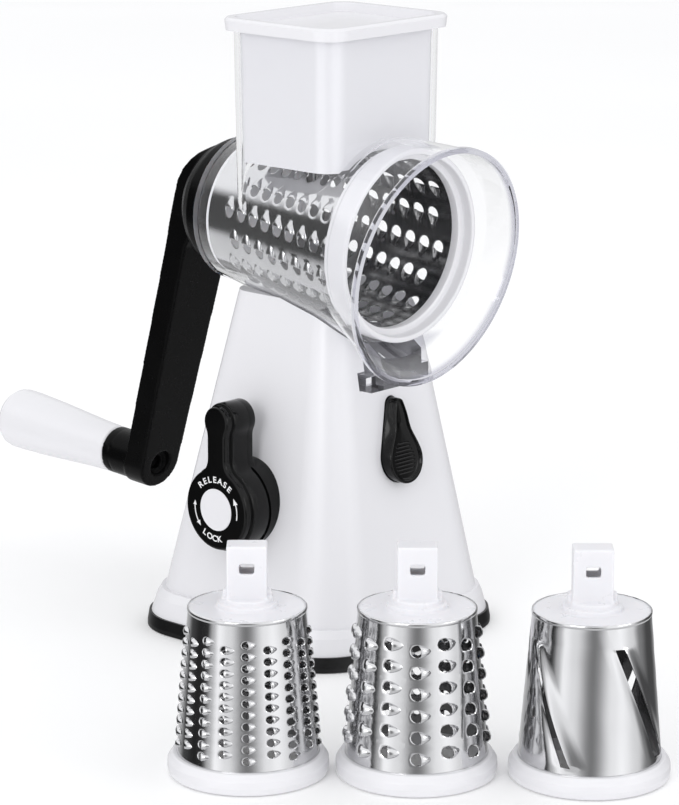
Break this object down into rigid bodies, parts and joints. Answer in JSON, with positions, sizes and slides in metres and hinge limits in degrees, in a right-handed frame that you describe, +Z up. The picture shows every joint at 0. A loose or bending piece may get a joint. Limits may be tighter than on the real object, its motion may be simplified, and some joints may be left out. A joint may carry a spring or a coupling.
{
  "type": "rotary cabbage shredder",
  "caption": "Hand-cranked rotary shredder: clear chute and drum housing on a white tapered tower with a suction foot, a black crank, and spare cone drums.",
  "frame": {"origin": "on the floor under the middle of the suction foot", "axes": "+Z up, the drum opens towards -Y, the crank is at +Y, the suction lever is on the -X face"},
  "size_m": [0.2824, 0.4926, 0.3],
  "materials": {
    "white_body": "gloss white moulded plastic",
    "black_plastic": "satin black moulded plastic",
    "clear_plastic": "clear moulded plastic",
    "grey_plate": "plain moulded plastic",
    "black_rubber": "soft black rubber",
    "steel": "plain steel",
    "polished_steel": "polished stainless sheet"
  },
  "bodies": {
    "root": {"tower_shell": "white_body", "base_plate": "grey_plate", "base_screws": "steel", "suction_foot": "black_rubber", "lever_collar": "black_plastic", "latch_spring": "steel", "clear_housing": "clear_plastic"},
    "lever": {"suction_lever": "black_plastic", "lever_cap": "white_body", "lever_screw": "steel", "lever_shaft": "steel", "lever_cam": "grey_plate"},
    "plunger": {"suction_plunger": "grey_plate"},
    "latch": {"latch_bolt": "grey_plate"},
    "button": {"release_button": "black_plastic", "latch_pin": "steel"},
    "pusher": {"pusher_block": "white_body", "pusher_lid": "white_body"},
    "crank": {"crank_arm": "black_plastic", "crank_clip": "steel", "handle_bolt": "steel"},
    "handle_grip": {"grip": "white_body", "grip_cap": "white_body"},
    "fitted_drum": {"fitted_drum_ring": "white_body", "fitted_drum_steel": "polished_steel", "fitted_drum_hub": "white_body"},
    "fine_drum": {"fine_drum_ring": "white_body", "fine_drum_steel": "polished_steel", "fine_drum_hub": "white_body"},
    "coarse_drum": {"coarse_drum_ring": "white_body", "coarse_drum_steel": "polished_steel", "coarse_drum_hub": "white_body"},
    "slicer_drum": {"slicer_drum_ring": "white_body", "slicer_drum_steel": "polished_steel", "slicer_drum_hub": "white_body"}
  },
  "joints": [
    {"name": "crank_turn", "type": "hinge", "parent": "root", "child": "crank", "pos_m": [0, 0, 0.1986], "axis": [0, 0.9982, 0.0593], "continuous": true},
    {"name": "grip_spin", "type": "hinge", "parent": "crank", "child": "handle_grip", "pos_m": [0, 0.15832, 0.063], "axis": [0, 0.9982, 0.0593], "continuous": true},
    {"name": "drum_pull_out", "type": "slide", "parent": "crank", "child": "fitted_drum", "axis": [0, -0.9982, -0.0593], "range_m": [0, 0.11]},
    {"name": "pusher_lift", "type": "slide", "parent": "root", "child": "pusher", "axis": [0, 0, 1], "range_m": [0, 0.07]},
    {"name": "suction_lever_turn", "type": "hinge", "parent": "root", "child": "lever", "pos_m": [-0.0564, 0, 0.0708], "axis": [-1, 0, 0], "range_deg": [0, 90]},
    {"name": "plunger_lift", "type": "slide", "parent": "root", "child": "plunger", "axis": [0, 0, 1], "range_m": [0, 0.005], "stiffness_N_per_m": 5, "springref_m": 0.0225},
    {"name": "button_press", "type": "slide", "parent": "root", "child": "button", "axis": [0, 1, 0], "range_m": [0, 0.0035], "stiffness_N_per_m": 500, "springref_m": -0.004},
    {"name": "latch_drop", "type": "slide", "parent": "root", "child": "latch", "axis": [0, 0, -1], "range_m": [0, 0.0035], "stiffness_N_per_m": 300, "springref_m": -0.004, "deforming": ["latch_spring"]},
    {"name": "fine_drum_lift", "type": "slide", "parent": "root", "child": "fine_drum", "axis": [0, 0, 1], "range_m": [0, 0.12]},
    {"name": "coarse_drum_lift", "type": "slide", "parent": "root", "child": "coarse_drum", "axis": [0, 0, 1], "range_m": [0, 0.12]},
    {"name": "slicer_drum_lift", "type": "slide", "parent": "root", "child": "slicer_drum", "axis": [0, 0, 1], "range_m": [0, 0.12]}
  ],
  "couplings": [
    {"joint": "plunger_lift", "follows": "suction_lever_turn", "m_per_rad": 0.0031831},
    {"joint": "latch_drop", "follows": "button_press", "ratio": 1}
  ]
}
